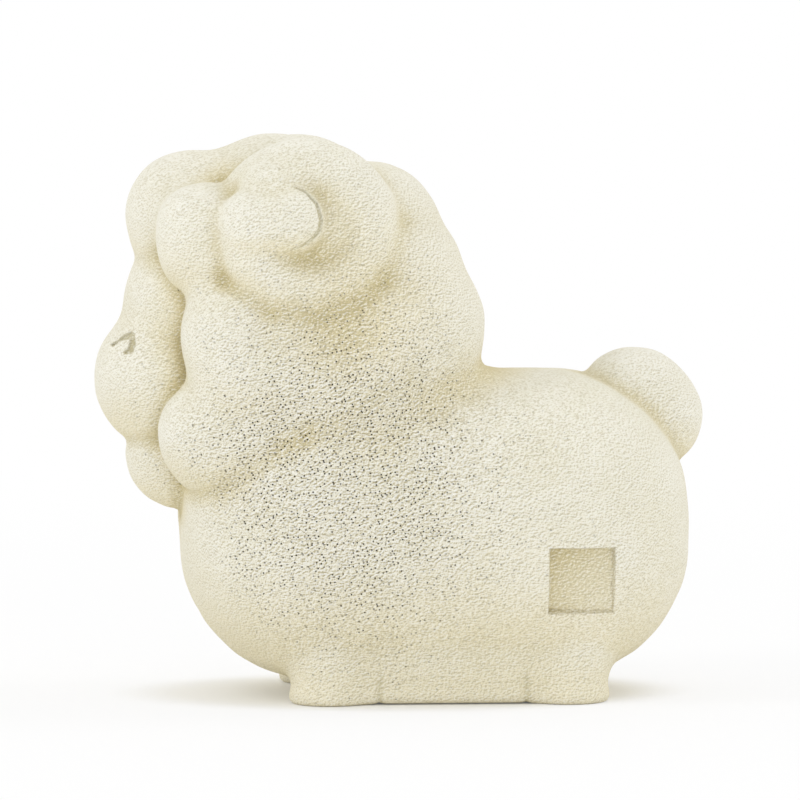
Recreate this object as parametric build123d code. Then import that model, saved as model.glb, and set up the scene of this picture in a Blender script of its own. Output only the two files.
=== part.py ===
"""Sheep figurine: eleven stone castings cemented together on round spigots.

Millimetres, +Z up. The face looks along -Y and the sheep's own left is +X. The origin is on the
floor, under the middle of the bounding box. Every casting is its own form cut back by the casting
that it is cemented to, so that the seats meet face to face.
"""

import os
from math import cos, radians, sin

from build123d import *

# Torso: a long bolster of fleece, rounded all over but for a flat band along each flank
BODY_LENGTH = 91.5
BODY_WIDTH = 62.0
BODY_HEIGHT = 55.0
FLANK_BAND = 7.0
BELLY_HEIGHT = 3.6
BODY_ROUNDING = (BODY_HEIGHT - FLANK_BAND) / 2

# Feet: four round stumps, each by how far its middle lies in from the torso's side and end
FOOT_DIAMETER = 14.0
FOOT_HEIGHT = 11.0
FOOT_DRAFT = 2
FOOT_EDGE = 1.6
FOOT_SIDE_INSET = 13.5
FOOT_FRONT_INSET = 26.05
FOOT_REAR_INSET = 22.45

# Skirt: the fleece that hangs between the feet, just clear of the floor, and ends past their middles
SKIRT_MARGIN = 4.8
SKIRT_CORNER = 12.0
SKIRT_DRAFT = 12
SKIRT_TOP = 18.0
SKIRT_FLOOR_GAP = 0.8

# Neck: the ball of fleece over the torso's front end that the mane's tufts grow on
NECK_RADIUS = 26.3
NECK_SETBACK = 25.55
NECK_RISE = 7.5
BIB_RADIUS = 9.5
CHEEK_RADIUS = 9.8
JOWL_RADIUS = 10.3
COLLAR_RADIUS = 6.5
SIDE_RADIUS = 13.2
FLANK_RADIUS = 14.0
SHOULDER_RADIUS = 14.6
NAPE_RADIUS = 12.8
SCRUFF_RADIUS = 12.2
POLL_RADIUS = 11.6

# Crown: the ball of fleece over the forehead that the topknot's tufts grow on
CROWN_RADIUS = 16.0
CROWN_FORWARD = 9.0
CROWN_RISE = 19.6
FORELOCK_RADIUS = 12.0
TEMPLE_RADIUS = 7.9

# Face: a round muzzle under a round brow
MUZZLE_RADIUS = 13.6
MUZZLE_FORWARD = 27.5
MUZZLE_DROP = 8.6
BROW_RADIUS = 14.0
BROW_SETBACK = 5.8
BROW_RISE = 13.5

# Horns: one coil of tapering tube, and a tip that turns in at an elbow and fills the middle of the coil
HORN_COIL_RADIUS = 10.0
HORN_ROOT_RADIUS = 7.1
HORN_END_RADIUS = 6.2
HORN_ELBOW_MARGIN = 0.3
HORN_ROOT_X = 14.5
HORN_END_X = 23.5
HORN_RISE = 18.4
HORN_FORWARD = 3.6
HORN_START = -80
HORN_SWEEP = 360
HORN_POINT_STEP = 24
TIP_RADIUS = 5.9
TIP_LENGTH = 7.0
TIP_X = 24.6
TIP_FORWARD = 3.0
TIP_RISE = 2.2
TIP_TILT = 10

# Tail: a bun of fleece high on the rump, a little longer than it is wide
TAIL_RADIUS = 10.3
TAIL_STRETCH = 3.0
TAIL_ELEVATION = 46
TAIL_SINK = 0.4

# Cement joints: each smaller casting has a round spigot in a socket of the larger one
SMALL_SPIGOT = 6.0
LARGE_SPIGOT = 14.0
SPIGOT_DEPTH = 7.0
SPIGOT_GAP = 0.1


class Ball:
    """A ball of fleece that knows its middle and radius, so that tufts can be set on it."""

    def __init__(self, middle, radius):
        self.middle = middle
        self.radius = radius

    def solid(self):
        return Pos(self.middle) * Sphere(self.radius)

    def point(self, azimuth, elevation, out=1.0):
        """A point at a share of the way out to the surface. Azimuth 0 is ahead and 90 is the left."""
        a = radians(azimuth)
        e = radians(elevation)
        return self.middle + Vector(sin(a) * cos(e), -cos(a) * cos(e), sin(e)) * (out * self.radius)

    def tuft(self, azimuth, elevation, out, radius):
        return Ball(self.point(azimuth, elevation, out), radius).solid()


BODY_MIDDLE = Vector(0, 0, BELLY_HEIGHT + BODY_HEIGHT / 2)
BODY_FRONT = BODY_MIDDLE + Vector(0, -BODY_LENGTH / 2, BODY_HEIGHT / 2)
NECK = Ball(BODY_FRONT + Vector(0, NECK_SETBACK, NECK_RISE), NECK_RADIUS)
CROWN = Ball(NECK.middle + Vector(0, -CROWN_FORWARD, CROWN_RISE), CROWN_RADIUS)
MUZZLE = Ball(NECK.middle + Vector(0, -MUZZLE_FORWARD, -MUZZLE_DROP), MUZZLE_RADIUS)
BROW = Ball(MUZZLE.middle + Vector(0, BROW_SETBACK, BROW_RISE), BROW_RADIUS)
HORN_AXIS = NECK.middle + Vector(0, -HORN_FORWARD, HORN_RISE)

# Feet by name, each with its side, 1 for the left, and its end, -1 for the front
FEET = {
    "front_left_foot": (1, -1),
    "front_right_foot": (-1, -1),
    "rear_left_foot": (1, 1),
    "rear_right_foot": (-1, 1),
}


def peg(start, end, diameter, gap=0.0):
    """A round bar from start to end, or with a gap the hole that takes it."""
    way = end - start
    return Plane(origin=start, z_dir=way) * extrude(Circle(diameter / 2 + gap), way.length + gap)


def foot_place(side, end):
    """The middle of a foot's sole."""
    inset = FOOT_FRONT_INSET if end < 0 else FOOT_REAR_INSET
    return Vector(side * (BODY_WIDTH / 2 - FOOT_SIDE_INSET), end * (BODY_LENGTH / 2 - inset), 0)


def body_form():
    """The bolster and the skirt under it."""
    bolster = Pos(BODY_MIDDLE) * Box(BODY_WIDTH, BODY_LENGTH, BODY_HEIGHT)
    bolster = fillet(bolster.edges(), BODY_ROUNDING)
    front = foot_place(1, -1)
    rear = foot_place(1, 1)
    width = 2 * (front.X + SKIRT_MARGIN)
    length = rear.Y - front.Y + 2 * SKIRT_MARGIN
    hem = Pos(0, (front.Y + rear.Y) / 2, SKIRT_FLOOR_GAP)
    outline = hem * RectangleRounded(width, length, SKIRT_CORNER)
    return bolster + extrude(outline, SKIRT_TOP - SKIRT_FLOOR_GAP, taper=-SKIRT_DRAFT)


def foot_form(side, end):
    """A stump that widens from its sole upwards."""
    sole = Pos(foot_place(side, end)) * Circle(FOOT_DIAMETER / 2)
    stump = extrude(sole, FOOT_HEIGHT, taper=-FOOT_DRAFT)
    return fillet(stump.edges().group_by(Axis.Z)[0], FOOT_EDGE)


def roll(start, end, radius):
    """A bar of fleece with round ends."""
    way = end - start
    outline = [
        RadiusArc((-radius, 0), (0, radius), radius),
        Line((0, radius), (way.length, radius)),
        RadiusArc((way.length, radius), (way.length + radius, 0), radius),
        Line((way.length + radius, 0), (-radius, 0)),
    ]
    bar = Rot(0, -90, 0) * revolve(make_face(outline), Axis.X)
    return Plane(origin=start, z_dir=way) * bar


def mane_form():
    """The neck with its bib, the rolls and tufts down each side and three rolls across the back."""
    tufts = [
        NECK.tuft(0, -41, 1.32, BIB_RADIUS),
        roll(NECK.point(145, 4, 0.75), NECK.point(-145, 4, 0.75), NAPE_RADIUS),
        roll(NECK.point(140, 32, 0.75), NECK.point(-140, 32, 0.75), SCRUFF_RADIUS),
        roll(NECK.point(142, 57, 0.84), NECK.point(-142, 57, 0.84), POLL_RADIUS),
    ]
    for side in (1, -1):
        cheek = NECK.point(side * 48, 0, 0.96)
        tufts.append(roll(cheek, NECK.point(side * 54, -16, 0.96), CHEEK_RADIUS))
        jowl = NECK.point(side * 39, -35, 1.2)
        tufts.append(roll(jowl, NECK.point(side * 52, -40, 1.08), JOWL_RADIUS))
        collar = NECK.point(side * 97, -37, 0.98)
        tufts.append(roll(NECK.point(side * 65, -36, 1.07), collar, COLLAR_RADIUS))
        tufts.append(roll(collar, NECK.point(side * 127, -31, 0.91), COLLAR_RADIUS))
        tufts.append(NECK.tuft(side * 67, -15, 0.72, SIDE_RADIUS))
        tufts.append(NECK.tuft(side * 97, -23, 0.67, FLANK_RADIUS))
        tufts.append(NECK.tuft(side * 127, -4, 0.6, SHOULDER_RADIUS))
    return NECK.solid() + tufts


def topknot_form():
    """The crown with its forelock and a roll down each temple."""
    tufts = [CROWN.tuft(0, 5, 0.92, FORELOCK_RADIUS)]
    for side in (1, -1):
        upper = CROWN.point(side * 50, 0, 1.32)
        lower = CROWN.point(side * 50, -12, 1.32)
        tufts.append(roll(upper, lower, TEMPLE_RADIUS))
    return CROWN.solid() + tufts


def horn_place(turn):
    """The middle of the tube at a turn of the coil. Turn 0 is the top, 90 the back, 180 the bottom."""
    share = (turn - HORN_START) / HORN_SWEEP
    outward = HORN_ROOT_X + share * (HORN_END_X - HORN_ROOT_X)
    spoke = Vector(0, sin(radians(turn)), cos(radians(turn)))
    return HORN_AXIS + Vector(outward, 0, 0) + spoke * HORN_COIL_RADIUS


def horn_tip():
    """A round-ended bar that lies across the middle of the coil, its free end towards the back."""
    free = HORN_AXIS + Vector(TIP_X, -TIP_FORWARD, TIP_RISE)
    tilt = radians(TIP_TILT)
    return roll(free + Vector(0, -cos(tilt), -sin(tilt)) * TIP_LENGTH, free, TIP_RADIUS)


def horn_form():
    """The left horn: a coil that goes over, back, down and forwards again and ends in its tip."""
    sections = []
    for angle in range(0, HORN_SWEEP + 1, HORN_POINT_STEP):
        turn = HORN_START + angle
        tube = HORN_ROOT_RADIUS + angle / HORN_SWEEP * (HORN_END_RADIUS - HORN_ROOT_RADIUS)
        along = (0, cos(radians(turn)), -sin(radians(turn)))
        plane = Plane(origin=horn_place(turn), x_dir=(1, 0, 0), z_dir=along)
        sections.append(plane * Circle(tube))
    elbow = Ball(horn_place(HORN_START + HORN_SWEEP), HORN_END_RADIUS + HORN_ELBOW_MARGIN)
    return loft(sections) + [elbow.solid(), horn_tip()]


def tail_place(out, up=0.0):
    """A point by its distance out from the rounded edge of the rump and its distance up the rump."""
    e = radians(TAIL_ELEVATION)
    edge = Vector(0, BODY_LENGTH / 2 - BODY_ROUNDING, BODY_HEIGHT / 2 - BODY_ROUNDING)
    over = Vector(0, cos(e), sin(e)) * (BODY_ROUNDING + out)
    return BODY_MIDDLE + edge + over + Vector(0, -sin(e), cos(e)) * up


def tail_form():
    """The bun, stretched up and down the rump."""
    half = TAIL_STRETCH / 2
    return roll(tail_place(-TAIL_SINK, -half), tail_place(-TAIL_SINK, half), TAIL_RADIUS)


def castings():
    """Every casting by its node's name, seated but without its spigots and sockets."""
    body = body_form()
    mane = mane_form()
    topknot = topknot_form()
    parts = {
        "mane": mane - body,
        "topknot": topknot - mane,
        "face": MUZZLE.solid() + BROW.solid() - body - mane - topknot,
        "left_horn": horn_form() - mane - topknot,
        "tail": tail_form() - body,
    }
    feet = {name: foot_form(*corner) for name, corner in FEET.items()}
    parts["body"] = body - list(feet.values())
    return parts | feet


def joints():
    """Each spigot: the casting it is part of, the casting it goes into, where from, where to, how thick."""
    seat = Vector(0, NECK.middle.Y, BODY_FRONT.Z)
    deep = Vector(0, 0, SPIGOT_DEPTH)
    bottom = horn_place(180) + Vector(HORN_END_RADIUS / 2, 0, 0)
    found = [
        ("mane", "body", seat + deep, seat - deep, LARGE_SPIGOT),
        ("topknot", "mane", NECK.point(0, 66, 1.2), NECK.point(0, 66, 0.75), LARGE_SPIGOT),
        ("face", "mane", NECK.point(0, -10, 1.2), NECK.point(0, -10, 0.75), LARGE_SPIGOT),
        ("left_horn", "mane", bottom, bottom - Vector(1.5 * SPIGOT_DEPTH, 0, 0), SMALL_SPIGOT),
        ("tail", "body", tail_place(TAIL_RADIUS / 3), tail_place(-SPIGOT_DEPTH), SMALL_SPIGOT),
    ]
    for name, corner in FEET.items():
        top = foot_place(*corner) + Vector(0, 0, FOOT_HEIGHT)
        found.append((name, "body", top - deep / 2, top + deep, SMALL_SPIGOT))
    return found


def cemented(parts):
    """The castings with each spigot added to one and its socket cut from the other."""
    for name, mate, start, end, diameter in joints():
        parts[name] += peg(start, end, diameter)
        parts[mate] -= peg(start, end, diameter, SPIGOT_GAP)
        if name == "left_horn":
            parts[mate] -= mirror(peg(start, end, diameter, SPIGOT_GAP), Plane.YZ)
    parts["right_horn"] = mirror(parts["left_horn"], Plane.YZ)
    return parts


def main():
    parts = cemented(castings())
    box = Compound(children=[part.solids()[0] for part in parts.values()]).bounding_box()
    home = Pos(-box.center().X, -box.center().Y, -box.min.Z)
    os.makedirs("parts", exist_ok=True)
    for name, part in parts.items():
        export_step(home * part, f"parts/{name}.step")


main()
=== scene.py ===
import math

import bmesh
import bpy
import numpy as np
import openvdb
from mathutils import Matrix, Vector


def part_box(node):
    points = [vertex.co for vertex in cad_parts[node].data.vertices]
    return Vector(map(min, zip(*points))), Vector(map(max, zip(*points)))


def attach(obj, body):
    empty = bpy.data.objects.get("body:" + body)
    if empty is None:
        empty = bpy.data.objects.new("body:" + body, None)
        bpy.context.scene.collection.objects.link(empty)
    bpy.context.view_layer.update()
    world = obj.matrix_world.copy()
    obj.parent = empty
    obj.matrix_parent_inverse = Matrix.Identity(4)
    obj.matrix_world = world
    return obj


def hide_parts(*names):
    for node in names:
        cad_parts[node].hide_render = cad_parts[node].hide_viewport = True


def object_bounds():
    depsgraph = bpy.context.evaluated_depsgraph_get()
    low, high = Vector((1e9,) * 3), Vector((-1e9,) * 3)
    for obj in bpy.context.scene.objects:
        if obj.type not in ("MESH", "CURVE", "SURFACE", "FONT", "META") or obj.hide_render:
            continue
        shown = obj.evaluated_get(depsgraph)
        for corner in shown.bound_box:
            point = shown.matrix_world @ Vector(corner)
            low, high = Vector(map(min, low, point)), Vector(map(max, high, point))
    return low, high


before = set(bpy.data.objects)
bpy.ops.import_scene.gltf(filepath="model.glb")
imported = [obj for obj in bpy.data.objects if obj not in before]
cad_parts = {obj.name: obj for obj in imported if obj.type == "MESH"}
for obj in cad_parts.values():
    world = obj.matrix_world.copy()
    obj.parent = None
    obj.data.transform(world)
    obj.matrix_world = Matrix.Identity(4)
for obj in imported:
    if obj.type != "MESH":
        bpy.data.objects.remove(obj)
cad_low, cad_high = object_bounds()

# The skin is worked out in millimetres on a grid of voxels, and turned into metres when it is meshed.
# Sizes of the material, the floor, the lamps and the camera are in metres.
MM = 0.001
VOXEL = 0.5
MARGIN = 6.0
BAND = 14
BLUR_REACH = 3.0
SEED = 11
TINY = 1e-6

# Where the photograph was taken from
VIEW_AZIMUTH = 86.0
VIEW_ELEVATION = 4.0
VIEW_DISTANCE = 1.2
VIEW_AIM = Vector((0.0, 0.0, 0.05325))
PIXEL_SIZE = 0.000182
PICTURE_SIZE = 800
SENSOR = 36.0

# Each casting, with how softly it runs into the ones before it
BLENDS = {
    "body": 0.0,
    "mane": 2.0,
    "front_left_foot": 1.2,
    "front_right_foot": 1.2,
    "rear_left_foot": 1.2,
    "rear_right_foot": 1.2,
    "tail": 0.4,
    "face": 0.8,
    "topknot": 2.5,
    "left_horn": 2.0,
    "right_horn": 2.0,
}

# How much more softly the mane runs into the flank, and where (across, along, up, radius)
FLANK_BLEND = 3.5
FLANK_PLACE = (30, 4, 54, 12)

# Fills: balls (across, along, up, radius) that close a hollow, and how softly they do
FILLS = [
    (12.2, -13.8, 84.5, 13.2),
    (19.5, -24.0, 91.5, 6.5),
    (17.5, -19.5, 93.0, 6.5),
]
FILL_BLEND = 0.8

# Softening: widths of the blurs, and how far the skin is let out to make up for what they take away
FINE_BLUR = 0.7
SOFT_BLUR = 2.2
SOFT_SWELL = 0.3
BROAD_BLUR = 4.5
BROAD_SWELL = 0.9
BROAD_PLACE = (28, -8, 58, 11)

# Creases stay tight: distances over which the softening comes in, from seams, horns and floor
SEAM_REACH = (0.5, 4.0)
TAIL_REACH = (2.0, 8.0)
HORN_REACH = (0.0, 4.0)
FLOOR_REACH = (1.0, 7.0)
CHEST_END = -20.0

# Marks: shallow dents (across, along, up, radius, depth), the same on both sides
HAND_MARKS = [
    (31, -14, 33, 6, 0.5),
    (31, 5, 38, 6, 0.45),
    (30, 35, 41, 6, 0.4),
    (27, -15, 15, 6, 0.4),
    (28, 6, 19, 6, 0.4),
    (29, -12, 66, 5, 2.8),
    (30, -22, 67, 4, 1.2),
    (24, -28, 36, 4, 0.8),
    (30, -6, 49, 4, 0.6),
    (28, 3, 56, 4, 0.5),
]

# Lumps of the skin (width, height), and the heights above the floor over which they come in
BROAD_LUMPS = (4.5, 0.16)
FINE_LUMPS = (1.5, 0.05)
LUMP_REACH = (0.5, 5.0)

# How far the skin is let out at the floor, so that the soles keep their edges, and up to which height
SOLE_SWELL = 0.7
SOLE_HEIGHT = 4.0

# The bare square recess on the left flank: its middle (along, up), side, depth there, slope of its floor
# and width of its wall, and its floor's painted shade: how dark at the middle and how that changes across
RECESS_PLACE = (30.5, 22.8)
RECESS_SIDE = 12.1
RECESS_DEPTH = 1.5
RECESS_SLOPE = 0.07
RECESS_WALL = 0.3
RECESS_DARK = 0.65
RECESS_SHADE = 0.5

# Strokes carved on each side: how dark their painted shade and how deep, half the wall's width, and points
# (along, up, half width), with the depth of a full stroke and the step that its slope is measured by
STROKES = [
    # The two marks on the face
    (0.5, 0.25, [(-52.4, 63.9, 0.22), (-51.4, 64.7, 0.06), (-50.5, 65.2, 0.35), (-49.1, 65.8, 0.52)]),
    (0.55, 0.25, [(-48.9, 65.2, 0.40), (-48.9, 64.4, 0.45), (-49.3, 63.2, 0.48), (-50.2, 62.7, 0.24)]),
    # The line round the horn's tip, above and below
    (0.5, 0.3, [(-20.5, 93.0, 0.0), (-18.6, 92.2, 0.08), (-16.6, 90.0, 0.2), (-15.9, 87.3, 0.28)]),
    (0.5, 0.3, [
        (-15.9, 87.3, 0.28), (-16.2, 85.5, 0.26), (-17.5, 83.9, 0.2), (-19.3, 82.7, 0.1), (-21.5, 82.0, 0.0),
    ]),
    # The creases behind the front foot and before the rear foot
    (0.42, 1.0, [(-5.2, 0.0, 0.3), (-5.2, 4.0, 0.2), (-4.9, 8.0, -0.8)]),
    (0.42, 1.0, [(21.2, 0.0, 0.3), (21.2, 4.0, 0.2), (20.9, 8.0, -0.8)]),
]
STROKE_DEPTH = 0.8
SLOPE_STEP = 0.02

# The mesh is made finer this close to the carving's edges, by this many cuts
FINE_REACH = 0.7
FINE_CUTS = 3

# Blurs that the normals are taken from, and that ridges, nicks and coves are told by
NORMAL_BLUR = 0.4
BULGE_BLUR = 3.0
NICK_BLUR = 1.0
COVE_BLUR = 6.0

# Heights at which hollows and coves have their full painted shade and ridges their full painted highlight,
# and how nicks turn into painted shade in the creases
HOLLOW_HEIGHT = 1.1
RIDGE_HEIGHT = 0.9
COVE_HEIGHT = 1.6
NICK_GAIN = 0.6
NICK_LOSS = 0.06
NICK_MOST = 0.3

# Patches of the side (along, up, reach along, reach up): the porous flank, filled out by a factor, and the
# neck under the horn, which gets painted shade, with how much of a hollow's painted shade it takes
FLANK_PATCH = (-12, 42, 24, 26)
FLANK_FILL = 1.5
NECK_SHADE_PATCH = (-9, 71, 13, 14)
NECK_SHADE_SHARE = 0.4

# The painted shade of the fold below the mane: a point on it (along, up), its slope and width, its middle
# and reach along, and how much of a hollow's painted shade it takes
FOLD_POINT = (-25.3, 44.3)
FOLD_SLOPE = 0.59
FOLD_WIDTH = 2.8
FOLD_MIDDLE = -13
FOLD_REACH = 13
FOLD_SHADE_SHARE = 0.5

# Painted shade on undersides: how far the skin turns down for it, and heights and share of it near the floor
UNDER_TURN = (-0.1, 0.9)
LOW_SHADE_HEIGHTS = (3.0, 14.0)
LOW_SHADE_SHARE = 0.7

# Pores: their share elsewhere and more on the flank, its drift (width, height), and how far the skin
# faces out for them
PORES_LEAST = 0.22
PORES_FLANK = 0.68
PORE_DRIFT = (5.0, 0.05)
PORES_FACING = (0.4, 0.85)

# Strength of the grain's relief and of its painted lit and shaded sides: least and more on what faces out,
# and a factor elsewhere and more on the flank
ROUGH_LEAST = 0.35
ROUGH_FACING = 0.65
ROUGH_ELSEWHERE = 0.75
ROUGH_FLANK = 0.5

low = np.array(cad_low) / MM - MARGIN
count = np.ceil((np.array(cad_high) / MM + MARGIN - low) / VOXEL).astype(int) + 1
corner = np.floor(low / VOXEL).astype(int)
axes = [((corner[a] + np.arange(count[a])) * VOXEL).astype(np.float32) for a in range(3)]
X, Y, Z = np.meshgrid(*axes, indexing="ij", sparse=True)
ACROSS = np.abs(X)
LEFT_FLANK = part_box("body")[1][0] / MM / 2
random = np.random.default_rng(SEED)


# Fields: one signed distance per voxel, negative inside

def field_of_mesh(points, faces):
    shape = "triangles" if faces.shape[1] == 3 else "quads"
    grid = openvdb.FloatGrid.createLevelSetFromPolygons(
        points.astype(np.float32),
        transform=openvdb.createLinearTransform(VOXEL),
        halfWidth=BAND,
        **{shape: faces.astype(np.uint32)},
    )
    field = np.empty(count, dtype=np.float32)
    grid.copyToArray(field, ijk=tuple(int(i) for i in corner))
    return field


def field_of_node(name):
    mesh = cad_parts[name].data
    mesh.calc_loop_triangles()
    points = np.empty(len(mesh.vertices) * 3, dtype=np.float32)
    mesh.vertices.foreach_get("co", points)
    faces = np.empty(len(mesh.loop_triangles) * 3, dtype=np.int32)
    mesh.loop_triangles.foreach_get("vertices", faces)
    return field_of_mesh(points.reshape(-1, 3) / MM, faces.reshape(-1, 3))


def ease(value, start, end):
    """0 at the start, 1 at the end, and smooth between them."""
    share = np.clip((value - start) / (end - start), 0.0, 1.0)
    return share * share * (3.0 - 2.0 * share)


def blend(first, second, width):
    """Both fields together, with a fillet of this width where they meet."""
    gap = np.maximum(width - np.abs(first - second), 0.0)
    return np.minimum(first, second) - gap * gap / (4.0 * width)


def blur(field, sigma):
    reach = int(math.ceil(BLUR_REACH * sigma / VOXEL))
    steps = np.arange(-reach, reach + 1) * VOXEL
    weights = np.exp(-0.5 * (steps / sigma) ** 2)
    weights = (weights / weights.sum()).astype(np.float32)
    for axis in range(3):
        edges = [(reach, reach) if a == axis else (0, 0) for a in range(3)]
        padded = np.pad(field, edges, mode="edge")
        total = np.zeros_like(field)
        for step, weight in enumerate(weights):
            window = [slice(None)] * 3
            window[axis] = slice(step, step + field.shape[axis])
            total += weight * padded[tuple(window)]
        field = total
    return field


def lumps(sigma, height):
    """A random field with lumps of this width and height."""
    field = blur(random.standard_normal(count, dtype=np.float32), sigma)
    return field * (height / field.std())


def surface(field):
    """The outermost shell where the field is zero, as points and outward quads."""
    grid = openvdb.FloatGrid(float(BAND * VOXEL))
    grid.copyFromArray(np.ascontiguousarray(field))
    points, quads = grid.convertToQuads(isovalue=0.0)
    quads = quads.astype(np.int64)
    label = np.arange(len(points))
    while True:
        least = np.repeat(label[quads].min(axis=1), 4)
        lowered = label.copy()
        np.minimum.at(lowered, quads.ravel(), least)
        lowered = lowered[lowered]
        if np.array_equal(lowered, label):
            break
        label = lowered
    outer = np.bincount(label[quads[:, 0]]).argmax()
    quads = quads[label[quads[:, 0]] == outer]
    used, packed = np.unique(quads, return_inverse=True)
    points = points[used].astype(np.float64)
    quads = packed.reshape(-1, 4)
    corners = points[quads]
    crossed = np.cross(corners[:, 2] - corners[:, 0], corners[:, 3] - corners[:, 1])
    if np.einsum("ij,ij->i", corners.mean(axis=1), crossed).sum() < 0.0:
        quads = quads[:, ::-1]
    return (points + corner) * VOXEL, quads


def sample(field, points):
    """The field's value at each point, from the eight voxels round it."""
    place = points / VOXEL - corner
    base = np.clip(np.floor(place).astype(int), 0, np.array(field.shape) - 2)
    part = place - base
    value = np.zeros(len(points))
    for sides in np.ndindex(2, 2, 2):
        weight = np.ones(len(points))
        for axis, side in enumerate(sides):
            weight *= part[:, axis] if side else 1.0 - part[:, axis]
        value += weight * field[tuple((base + sides).T)]
    return value


def near(across, along, up, radius):
    """A soft ball of weight, the same on both sides."""
    squares = (ACROSS - across) ** 2 + (Y - along) ** 2 + (Z - up) ** 2
    return np.exp(-0.5 * squares / radius ** 2)


def seam(first, second):
    """The distance from where two castings meet."""
    return np.maximum(np.abs(fields[first]), np.abs(fields[second]))


# Skin: the castings and fills run together, softened and marked with the listed dents

fields = {name: field_of_node(name) for name in BLENDS}
whole = fields["body"]
for name, width in BLENDS.items():
    if name == "mane":
        width = width + FLANK_BLEND * near(*FLANK_PLACE)
    if name != "body":
        whole = blend(whole, fields[name], width)
for across, along, up, radius in FILLS:
    ball = np.sqrt((ACROSS - across) ** 2 + (Y - along) ** 2 + (Z - up) ** 2) - radius
    whole = blend(whole, ball, FILL_BLEND)
whole = field_of_mesh(*surface(whole))

softness = ease(seam("face", "mane"), *SEAM_REACH) * ease(seam("face", "topknot"), *SEAM_REACH)
softness *= ease(seam("tail", "body"), *TAIL_REACH)
softness *= ease(np.maximum(seam("mane", "body"), Y - CHEST_END), *SEAM_REACH)
softness *= ease(Z, *FLOOR_REACH)
softness *= ease(np.minimum(fields["left_horn"], fields["right_horn"]), *HORN_REACH)
skin = blur(whole, FINE_BLUR)
skin += softness * (blur(whole, SOFT_BLUR) - SOFT_SWELL - skin)
skin += softness * near(*BROAD_PLACE) * (blur(whole, BROAD_BLUR) - BROAD_SWELL - skin)

for across, along, up, radius, depth in HAND_MARKS:
    skin += depth * near(across, along, up, radius)
above_floor = ease(Z, *LUMP_REACH)
skin += above_floor * (lumps(*BROAD_LUMPS) + lumps(*FINE_LUMPS))
skin -= SOLE_SWELL * (1.0 - ease(Z, 0.0, SOLE_HEIGHT))
skin = np.maximum(skin, -Z)

points, quads = surface(skin)
slope = np.gradient(blur(skin, NORMAL_BLUR), VOXEL)
bulge = blur(skin, BULGE_BLUR) - skin
nick = skin - blur(skin, NICK_BLUR)
cove = skin - blur(skin, COVE_BLUR)
pore_drift = lumps(*PORE_DRIFT)
middles = points[quads].mean(axis=1)
nearest = np.argmin([sample(fields[name], middles) for name in BLENDS], axis=0)


# Carving: cut into the finished skin at any place on it

def recess_gap(places):
    """The distance to the recess's border, negative inside."""
    aside = np.abs(places[:, 1:] - RECESS_PLACE).max(axis=1)
    return np.where(places[:, 0] > LEFT_FLANK, aside - RECESS_SIDE / 2, np.inf)


def stroke_gap(places, stroke):
    """The distance to the border of one stroke, negative inside."""
    gap = np.full(len(places), np.inf)
    for first, second in zip(stroke, stroke[1:]):
        way = np.array(second) - first
        offset = places[:, 1:] - first[:2]
        share = np.clip(offset @ way[:2] / (way[:2] @ way[:2]), 0.0, 1.0)
        aside = np.linalg.norm(offset - share[:, None] * way[:2], axis=1)
        gap = np.minimum(gap, aside - first[2] - share * way[2])
    return gap


def mark_gap(places):
    """The distance to the border of the nearest stroke."""
    return np.min([stroke_gap(places, stroke) for _, _, stroke in STROKES], axis=0)


def recess_cut(places):
    """How far down the recess's wall each place is, from 0 outside to 1 on its floor."""
    return ease(-recess_gap(places), 0.0, RECESS_WALL)


def mark_cut(places):
    """How strongly the strokes mark each place, up to how dark their painted shade is."""
    cuts = [dark * ease(-stroke_gap(places, stroke), -wall, wall) for dark, wall, stroke in STROKES]
    return np.max(cuts, axis=0)


def across_recess(places):
    """How far up and forward of the recess's middle each place is."""
    from_middle = places[:, 1:] - RECESS_PLACE
    return from_middle[:, 1] - from_middle[:, 0]


def carving(places):
    """How deep the skin is cut at each place."""
    floor_depth = RECESS_DEPTH + RECESS_SLOPE * across_recess(places)
    return floor_depth * recess_cut(places) + STROKE_DEPTH * mark_cut(places)


def steepness(places):
    """The slope of the carving at each place."""
    ways = np.eye(3) * SLOPE_STEP
    rises = [carving(places + way) - carving(places - way) for way in ways]
    return np.stack(rises, axis=1) / (2 * SLOPE_STEP)


# Pieces: the skin's faces nearest to each casting, closed behind

def add_object(name, data):
    made = bpy.data.objects.new(name, data)
    bpy.context.scene.collection.objects.link(made)
    return made


def open_loops(faces):
    """The closed runs of edges that only one face uses, in the direction that new faces on them need."""
    starts = faces.ravel()
    ends = np.roll(faces, -1, axis=1).ravel()
    size = len(points)
    single = ~np.isin(starts * size + ends, ends * size + starts)
    follow = {}
    for start, end in zip(ends[single].tolist(), starts[single].tolist()):
        follow.setdefault(start, []).append(end)
    loops = []
    while follow:
        first = next(iter(follow))
        loop = [first]
        while True:
            options = follow[loop[-1]]
            step = options.pop()
            if not options:
                del follow[loop[-1]]
            if step == first:
                break
            loop.append(step)
        loops.append(loop)
    return loops


def places_of(mesh):
    flat = np.empty(len(mesh.vertices) * 3, dtype=np.float32)
    mesh.vertices.foreach_get("co", flat)
    return flat.reshape(-1, 3).astype(np.float64) / MM


def unit(vectors):
    return vectors / np.maximum(np.linalg.norm(vectors, axis=1), TINY)[:, None]


def patch(places, along, up, reach_along, reach_up):
    """A soft patch of weight, as seen from the side."""
    return np.exp(-((places[:, 1] - along) / reach_along) ** 2 - ((places[:, 2] - up) / reach_up) ** 2)


def make_finer(mesh):
    """Splits the faces along the carving's edges, so that there are enough of them to carve."""
    places = places_of(mesh)
    close = np.minimum(np.abs(recess_gap(places)), mark_gap(places)) < FINE_REACH
    if not close.any():
        return
    shape = bmesh.new()
    shape.from_mesh(mesh)
    edges = [edge for edge in shape.edges if all(close[vert.index] for vert in edge.verts)]
    bmesh.ops.subdivide_edges(shape, edges=edges, cuts=FINE_CUTS, use_grid_fill=True)
    shape.to_mesh(mesh)
    shape.free()


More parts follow.
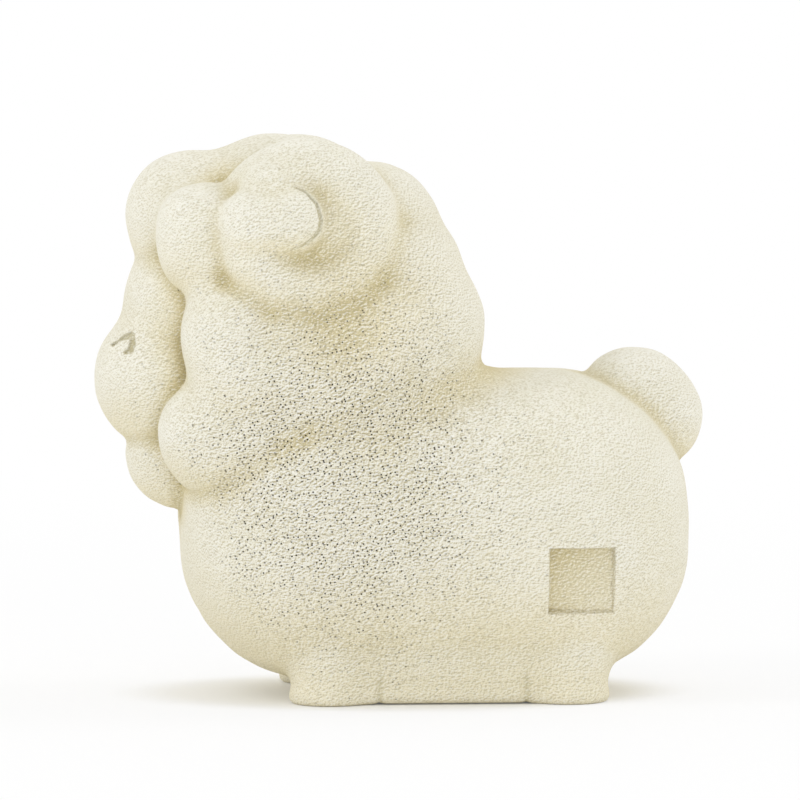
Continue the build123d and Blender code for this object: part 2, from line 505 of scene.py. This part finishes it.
def colour_shares(places, normals):
    """How much of each colour and texture, painted shade and highlight of the stone there is at each place.
    """
    # The recess's floor and the strokes get painted shade, darker towards the recess's top and front
    recess_floor_shade = RECESS_DARK + RECESS_SHADE * across_recess(places) / RECESS_SIDE
    drawn = mark_cut(places)
    carved_shade = np.maximum(recess_cut(places) * np.clip(recess_floor_shade, 0.0, 1.0), drawn)
    lumpy = sample(bulge, places)
    facing = np.clip(np.abs(normals[:, 0]), 0.0, 1.0)
    flank = np.clip(FLANK_FILL * patch(places, *FLANK_PATCH), 0.0, 1.0)
    # The neck under the horn: a patch of painted shade
    neck_shade = patch(places, *NECK_SHADE_PATCH)
    # A band of painted shade along the fold below the mane
    above_fold = places[:, 2] - FOLD_POINT[1] - FOLD_SLOPE * (places[:, 1] - FOLD_POINT[0])
    along_fold = (places[:, 1] - FOLD_MIDDLE) / FOLD_REACH
    fold_shade = facing * np.exp(-(above_fold / FOLD_WIDTH) ** 2 - along_fold ** 4)
    # Painted shade near the floor, in coves and on what faces down
    low_shade = 1.0 - ease(places[:, 2], *LOW_SHADE_HEIGHTS)
    cove_shade = np.clip(sample(cove, places) / COVE_HEIGHT, 0.0, 1.0)
    downward_shade = ease(-normals[:, 2], *UNDER_TURN)
    # Painted shade in hollows, on the neck under the horn and along the fold
    hollow_shade = np.clip(NECK_SHADE_SHARE * neck_shade + FOLD_SHADE_SHARE * fold_shade - lumpy / HOLLOW_HEIGHT, 0.0, 1.0)
    # Painted shade in sharp creases
    crease_shade = np.clip(NICK_GAIN * sample(nick, places) - NICK_LOSS, 0.0, NICK_MOST)
    pores = np.clip(PORES_LEAST + PORES_FLANK * flank + sample(pore_drift, places), 0.0, 1.0)
    return {
        "hollow_shade": np.maximum(hollow_shade, carved_shade),
        "crease_shade": np.maximum(crease_shade, drawn),
        # Paler on ridges: a painted highlight
        "ridge_highlight": np.clip(lumpy / RIDGE_HEIGHT, 0.0, 1.0) * (1.0 - carved_shade),
        # Painted shade on undersides, in coves, on the neck and near the floor
        "under_shade": np.maximum.reduce([cove_shade, downward_shade, neck_shade, LOW_SHADE_SHARE * low_shade]),
        "pores": pores * ease(facing, *PORES_FACING) * (1.0 - carved_shade),
        "rough": (ROUGH_LEAST + ROUGH_FACING * facing) * (ROUGH_ELSEWHERE + ROUGH_FLANK * flank),
    }


def finish_piece(mesh):
    """Carves a piece and gives it its normals and the shares that its colour depends on."""
    places = places_of(mesh)
    normals = unit(np.stack([sample(part, places) for part in slope], axis=1))
    carved = places - normals * carving(places)[:, None]
    mesh.vertices.foreach_set("co", (carved * MM).astype(np.float32).ravel())
    for key, share in colour_shares(places, normals).items():
        mesh.attributes.new(key, "FLOAT", "POINT").data.foreach_set("value", share.astype(np.float32))
    mesh.shade_smooth()
    mesh.normals_split_custom_set_from_vertices(unit(normals + steepness(places)).tolist())


def make_piece(name, faces):
    used = np.unique(faces)
    number = {old: new for new, old in enumerate(used.tolist())}
    places = (points[used] * MM).tolist()
    polygons = np.searchsorted(used, faces).tolist()
    for loop in open_loops(faces):
        places.append((points[loop].mean(axis=0) * MM).tolist())
        for start, end in zip(loop, loop[1:] + loop[:1]):
            polygons.append((number[start], number[end], len(places) - 1))
    mesh = bpy.data.meshes.new(name + "_skin")
    mesh.from_pydata(places, [], polygons)
    make_finer(mesh)
    finish_piece(mesh)
    return add_object(mesh.name, mesh)


# Material: porous cast stone, with grain and pinholes; paler on the ridges as painted highlight, yellower in
# the hollows, creases and undersides as painted shade; the grain and pinholes have painted light and shade
# too

# The stone's own two tones, and the noise and the part of its range that mixes them
CREAMS = ((0.79, 0.755, 0.61, 1), (0.825, 0.795, 0.67, 1))
CREAM_NOISE = {"Scale": 110.0, "Detail": 3.0, "Roughness": 0.55}
CREAM_RANGE = (0.35, 0.65)

# Layers of colour over them, in order: the share that each follows, how strongly, and its colour
LAYERS = [
    # Painted highlight on the ridges
    ("ridge_highlight", 0.6, (0.87, 0.855, 0.765, 1)),
    # Painted shade under things, in coves, on the neck and near the floor
    ("under_shade", 0.85, (0.80, 0.725, 0.50, 1)),
    # Painted shade in hollows and in the carving
    ("hollow_shade", 0.8, (0.60, 0.51, 0.26, 1)),
    # Painted shade in creases and strokes
    ("crease_shade", 1.0, (0.34, 0.31, 0.16, 1)),
    # The grain's painted shaded side and painted lit side
    ("grain_shade", 0.8, (0.50, 0.44, 0.28, 1)),
    ("grain_highlight", 0.65, (0.97, 0.96, 0.91, 1)),
    # Painted shade in the pricks and pits
    ("prick_shade", 0.2, (0.20, 0.17, 0.10, 1)),
    ("pit_dent_and_shade", 1.0, (0.045, 0.034, 0.016, 1)),
]

# Grain: fine noise drawn out along the sheep, and the step and tilt that paint it a lit and a shaded side
GRAIN_NOISE = {"Scale": 2700.0, "Detail": 1.0, "Roughness": 0.5}
GRAIN_DRAW = (1.0, 0.7, 1.0)
GRAIN_STEP = Vector((0.0, -0.00006, 0.00009))
GRAIN_TILT = 0.2

# Holes: cells in a metre, rim and bottom as parts of a cell, how gradually they thin out, and dimensions.
# The pits are laid out flat on the sides, along two directions aslant, so that they are spread evenly.
# The pits and pricks are dark spots of painted shade, with a shallow dent in the bump
PITS = (1220.0, 0.21, 0.12, 0.75, "2D")
PRICKS = (2600.0, 0.30, 0.14, 0.05, "3D")
HOLE_SCATTER = 0.9
PIT_ALONG = (0.0, 0.9, 0.43)
PIT_UP = (0.0, -0.43, 0.9)

# Relief and gloss
BUMP_HEIGHT = 0.0004
ROUGHNESS_RANGE = (0.3, 0.7, 0.82, 0.96)
SPECULAR = 0.12


def add(tree, kind, inputs, **settings):
    made = tree.nodes.new(kind)
    for key, value in settings.items():
        setattr(made, key, value)
    for key, value in inputs.items():
        if isinstance(value, bpy.types.NodeSocket):
            tree.links.new(value, made.inputs[key])
        else:
            made.inputs[key].default_value = value
    return made


def mix_colour(tree, share, first, second):
    return add(tree, "ShaderNodeMix", {0: share, 6: first, 7: second}, data_type="RGBA").outputs[2]


def calculate(tree, operation, first, second):
    return add(tree, "ShaderNodeMath", {0: first, 1: second}, operation=operation).outputs[0]


def change_vector(tree, operation, first, second):
    return add(tree, "ShaderNodeVectorMath", {0: first, 1: second}, operation=operation).outputs["Vector"]


def measure_vector(tree, operation, *vectors):
    inputs = dict(enumerate(vectors))
    return add(tree, "ShaderNodeVectorMath", inputs, operation=operation).outputs["Value"]


def spread(tree, value, start, end, low_end=0.0, high_end=1.0):
    """From the low end where the value is at the start to the high end, smoothly."""
    inputs = {"Value": value, "From Min": start, "From Max": end, "To Min": low_end, "To Max": high_end}
    return add(tree, "ShaderNodeMapRange", inputs, interpolation_type="SMOOTHSTEP").outputs[0]


def holes(tree, place, pores, scale, rim, bottom, fade, dimensions):
    """Round holes at random places, more of them where the share of pores is high."""
    inputs = {"Vector": place, "Scale": scale, "Randomness": HOLE_SCATTER}
    cells = add(tree, "ShaderNodeTexVoronoi", inputs, voronoi_dimensions=dimensions)
    chance = add(tree, "ShaderNodeSeparateColor", {0: cells.outputs["Color"]}).outputs[0]
    open_here = spread(tree, calculate(tree, "SUBTRACT", pores, chance), 0.0, fade)
    return calculate(tree, "MULTIPLY", open_here, spread(tree, cells.outputs["Distance"], rim, bottom))


def grains(tree, place, step):
    """The grain's noise a step aside."""
    drawn = change_vector(tree, "MULTIPLY", change_vector(tree, "ADD", place, step), GRAIN_DRAW)
    return add(tree, "ShaderNodeTexNoise", {"Vector": drawn, **GRAIN_NOISE}).outputs[0]


def make_stone():
    material = bpy.data.materials.new("porous_stone")
    material.use_nodes = True
    tree = material.node_tree
    shader = tree.nodes["Principled BSDF"]
    place = add(tree, "ShaderNodeTexCoord", {}).outputs["Object"]
    shares = {
        name: add(tree, "ShaderNodeAttribute", {}, attribute_name=name).outputs["Fac"]
        for name in ("hollow_shade", "crease_shade", "ridge_highlight", "under_shade", "pores", "rough")
    }

    # The grain's tilt paints a lit side and a shaded side into the colour
    grain = grains(tree, place, GRAIN_STEP)
    tilt = calculate(tree, "SUBTRACT", grain, grains(tree, place, -GRAIN_STEP))
    for name, full_tilt in (("grain_shade", -GRAIN_TILT), ("grain_highlight", GRAIN_TILT)):
        shares[name] = calculate(tree, "MULTIPLY", spread(tree, tilt, 0.0, full_tilt), shares["rough"])

    along = measure_vector(tree, "DOT_PRODUCT", place, PIT_ALONG)
    up = measure_vector(tree, "DOT_PRODUCT", place, PIT_UP)
    flat_place = add(tree, "ShaderNodeCombineXYZ", {0: along, 1: up}).outputs[0]
    shares["pit_dent_and_shade"] = holes(tree, flat_place, shares["pores"], *PITS)
    shares["prick_shade"] = holes(tree, place, shares["pores"], *PRICKS)

    tones = add(tree, "ShaderNodeTexNoise", {"Vector": place, **CREAM_NOISE}).outputs[0]
    colour = mix_colour(tree, spread(tree, tones, *CREAM_RANGE), *CREAMS)
    for name, strength, layer in LAYERS:
        colour = mix_colour(tree, calculate(tree, "MULTIPLY", shares[name], strength), colour, layer)
    tree.links.new(colour, shader.inputs["Base Color"])

    grain_height = calculate(tree, "MULTIPLY", grain, shares["rough"])
    relief = calculate(tree, "SUBTRACT", grain_height, shares["pit_dent_and_shade"])
    bump = add(tree, "ShaderNodeBump", {"Strength": 1.0, "Distance": BUMP_HEIGHT, "Height": relief})
    tree.links.new(bump.outputs[0], shader.inputs["Normal"])
    tree.links.new(spread(tree, grain, *ROUGHNESS_RANGE), shader.inputs["Roughness"])
    shader.inputs["Specular IOR Level"].default_value = SPECULAR
    return material


stone = make_stone()
for index, name in enumerate(BLENDS):
    piece = make_piece(name, quads[nearest == index])
    piece.data.materials.append(stone)
    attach(piece, "root")
    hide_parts(name)


# Floor, light and camera

WHITE = (1, 1, 1, 1)

# Floor: half its width, its own grey, how white it is shown near the figure and away from it, and the
# oval under the figure that keeps its shade
FLOOR_HALF = 6
PAPER_GREY = (0.93, 0.93, 0.93, 1)
WHITE_RANGE = (0.08, 0.5, 0.72, 1.0)
OVAL_SCALE = (30.0, 19.0, 0.0)
OVAL_RANGE = (0.75, 1.05, 0.1, 1.0)

# Lamps: place, width and power in watts
LAMPS = {
    "front_light": ((0.5, -1.9, 1.3), 0.7, 8.5),
    "back_light": ((-0.5, 1.9, 1.3), 0.9, 6.5),
    "low_light": ((1.0, 0.1, 0.03), 0.6, 3.5),
}

# World: the direction in which it glows least, and how much it glows there and on the opposite side
DIM_WAY = (0.6, 0.0, -0.8)
GLOW = (0.47, 0.98)


def seen_directly(tree):
    """1 for what the camera sees, also in a mirror or through glass, and 0 for light on the figure."""
    path = add(tree, "ShaderNodeLightPath", {}).outputs
    share = calculate(tree, "MAXIMUM", path["Is Camera Ray"], path["Is Glossy Ray"])
    return calculate(tree, "MAXIMUM", share, path["Is Transmission Ray"])


def make_paper():
    material = bpy.data.materials.new("paper")
    material.use_nodes = True
    tree = material.node_tree
    matt = add(tree, "ShaderNodeBsdfDiffuse", {"Color": PAPER_GREY})
    white = add(tree, "ShaderNodeEmission", {"Color": WHITE, "Strength": 1.0})
    place = add(tree, "ShaderNodeTexCoord", {}).outputs["Object"]
    away = measure_vector(tree, "LENGTH", place)
    share = calculate(tree, "MULTIPLY", seen_directly(tree), spread(tree, away, *WHITE_RANGE))
    beside = measure_vector(tree, "LENGTH", change_vector(tree, "MULTIPLY", place, OVAL_SCALE))
    share = calculate(tree, "MULTIPLY", share, spread(tree, beside, *OVAL_RANGE))
    mixed = add(tree, "ShaderNodeMixShader", {0: share, 1: matt.outputs[0], 2: white.outputs[0]})
    tree.links.new(mixed.outputs[0], tree.nodes["Material Output"].inputs["Surface"])
    tree.nodes.remove(tree.nodes["Principled BSDF"])
    return material


def aim(obj, target):
    obj.rotation_euler = (target - obj.location).to_track_quat("-Z", "Y").to_euler()


floor_corners = [(x * FLOOR_HALF, y * FLOOR_HALF, 0) for x, y in ((-1, -1), (1, -1), (1, 1), (-1, 1))]
floor_mesh = bpy.data.meshes.new("floor")
floor_mesh.from_pydata(floor_corners, [], [(0, 1, 2, 3)])
floor_mesh.materials.append(make_paper())
add_object("floor", floor_mesh)

for name, (place, width, power) in LAMPS.items():
    lamp_data = bpy.data.lights.new(name, "AREA")
    lamp_data.shape = "DISK"
    lamp_data.size = width
    lamp_data.energy = power
    lamp = add_object(name, lamp_data)
    lamp.location = place
    aim(lamp, VIEW_AIM)

world = bpy.data.worlds.new("studio")
world.use_nodes = True
sky = world.node_tree
way = add(sky, "ShaderNodeTexCoord", {}).outputs["Generated"]
glow = spread(sky, measure_vector(sky, "DOT_PRODUCT", way, DIM_WAY), 1.0, -1.0, *GLOW)
strength = spread(sky, seen_directly(sky), 0.0, 1.0, glow, 1.0)
sky.links.new(strength, sky.nodes["Background"].inputs["Strength"])
sky.nodes["Background"].inputs["Color"].default_value = WHITE
bpy.context.scene.world = world

turn = math.radians(VIEW_AZIMUTH)
lift = math.radians(VIEW_ELEVATION)
offset = Vector((math.sin(turn) * math.cos(lift), -math.cos(turn) * math.cos(lift), math.sin(lift)))
camera_data = bpy.data.cameras.new("camera")
camera_data.sensor_width = SENSOR
camera_data.lens = VIEW_DISTANCE * SENSOR / (PICTURE_SIZE * PIXEL_SIZE)
camera = add_object("camera", camera_data)
camera.location = VIEW_AIM + VIEW_DISTANCE * offset
aim(camera, VIEW_AIM)
bpy.context.scene.camera = camera
bpy.context.scene.view_settings.view_transform = "Standard"
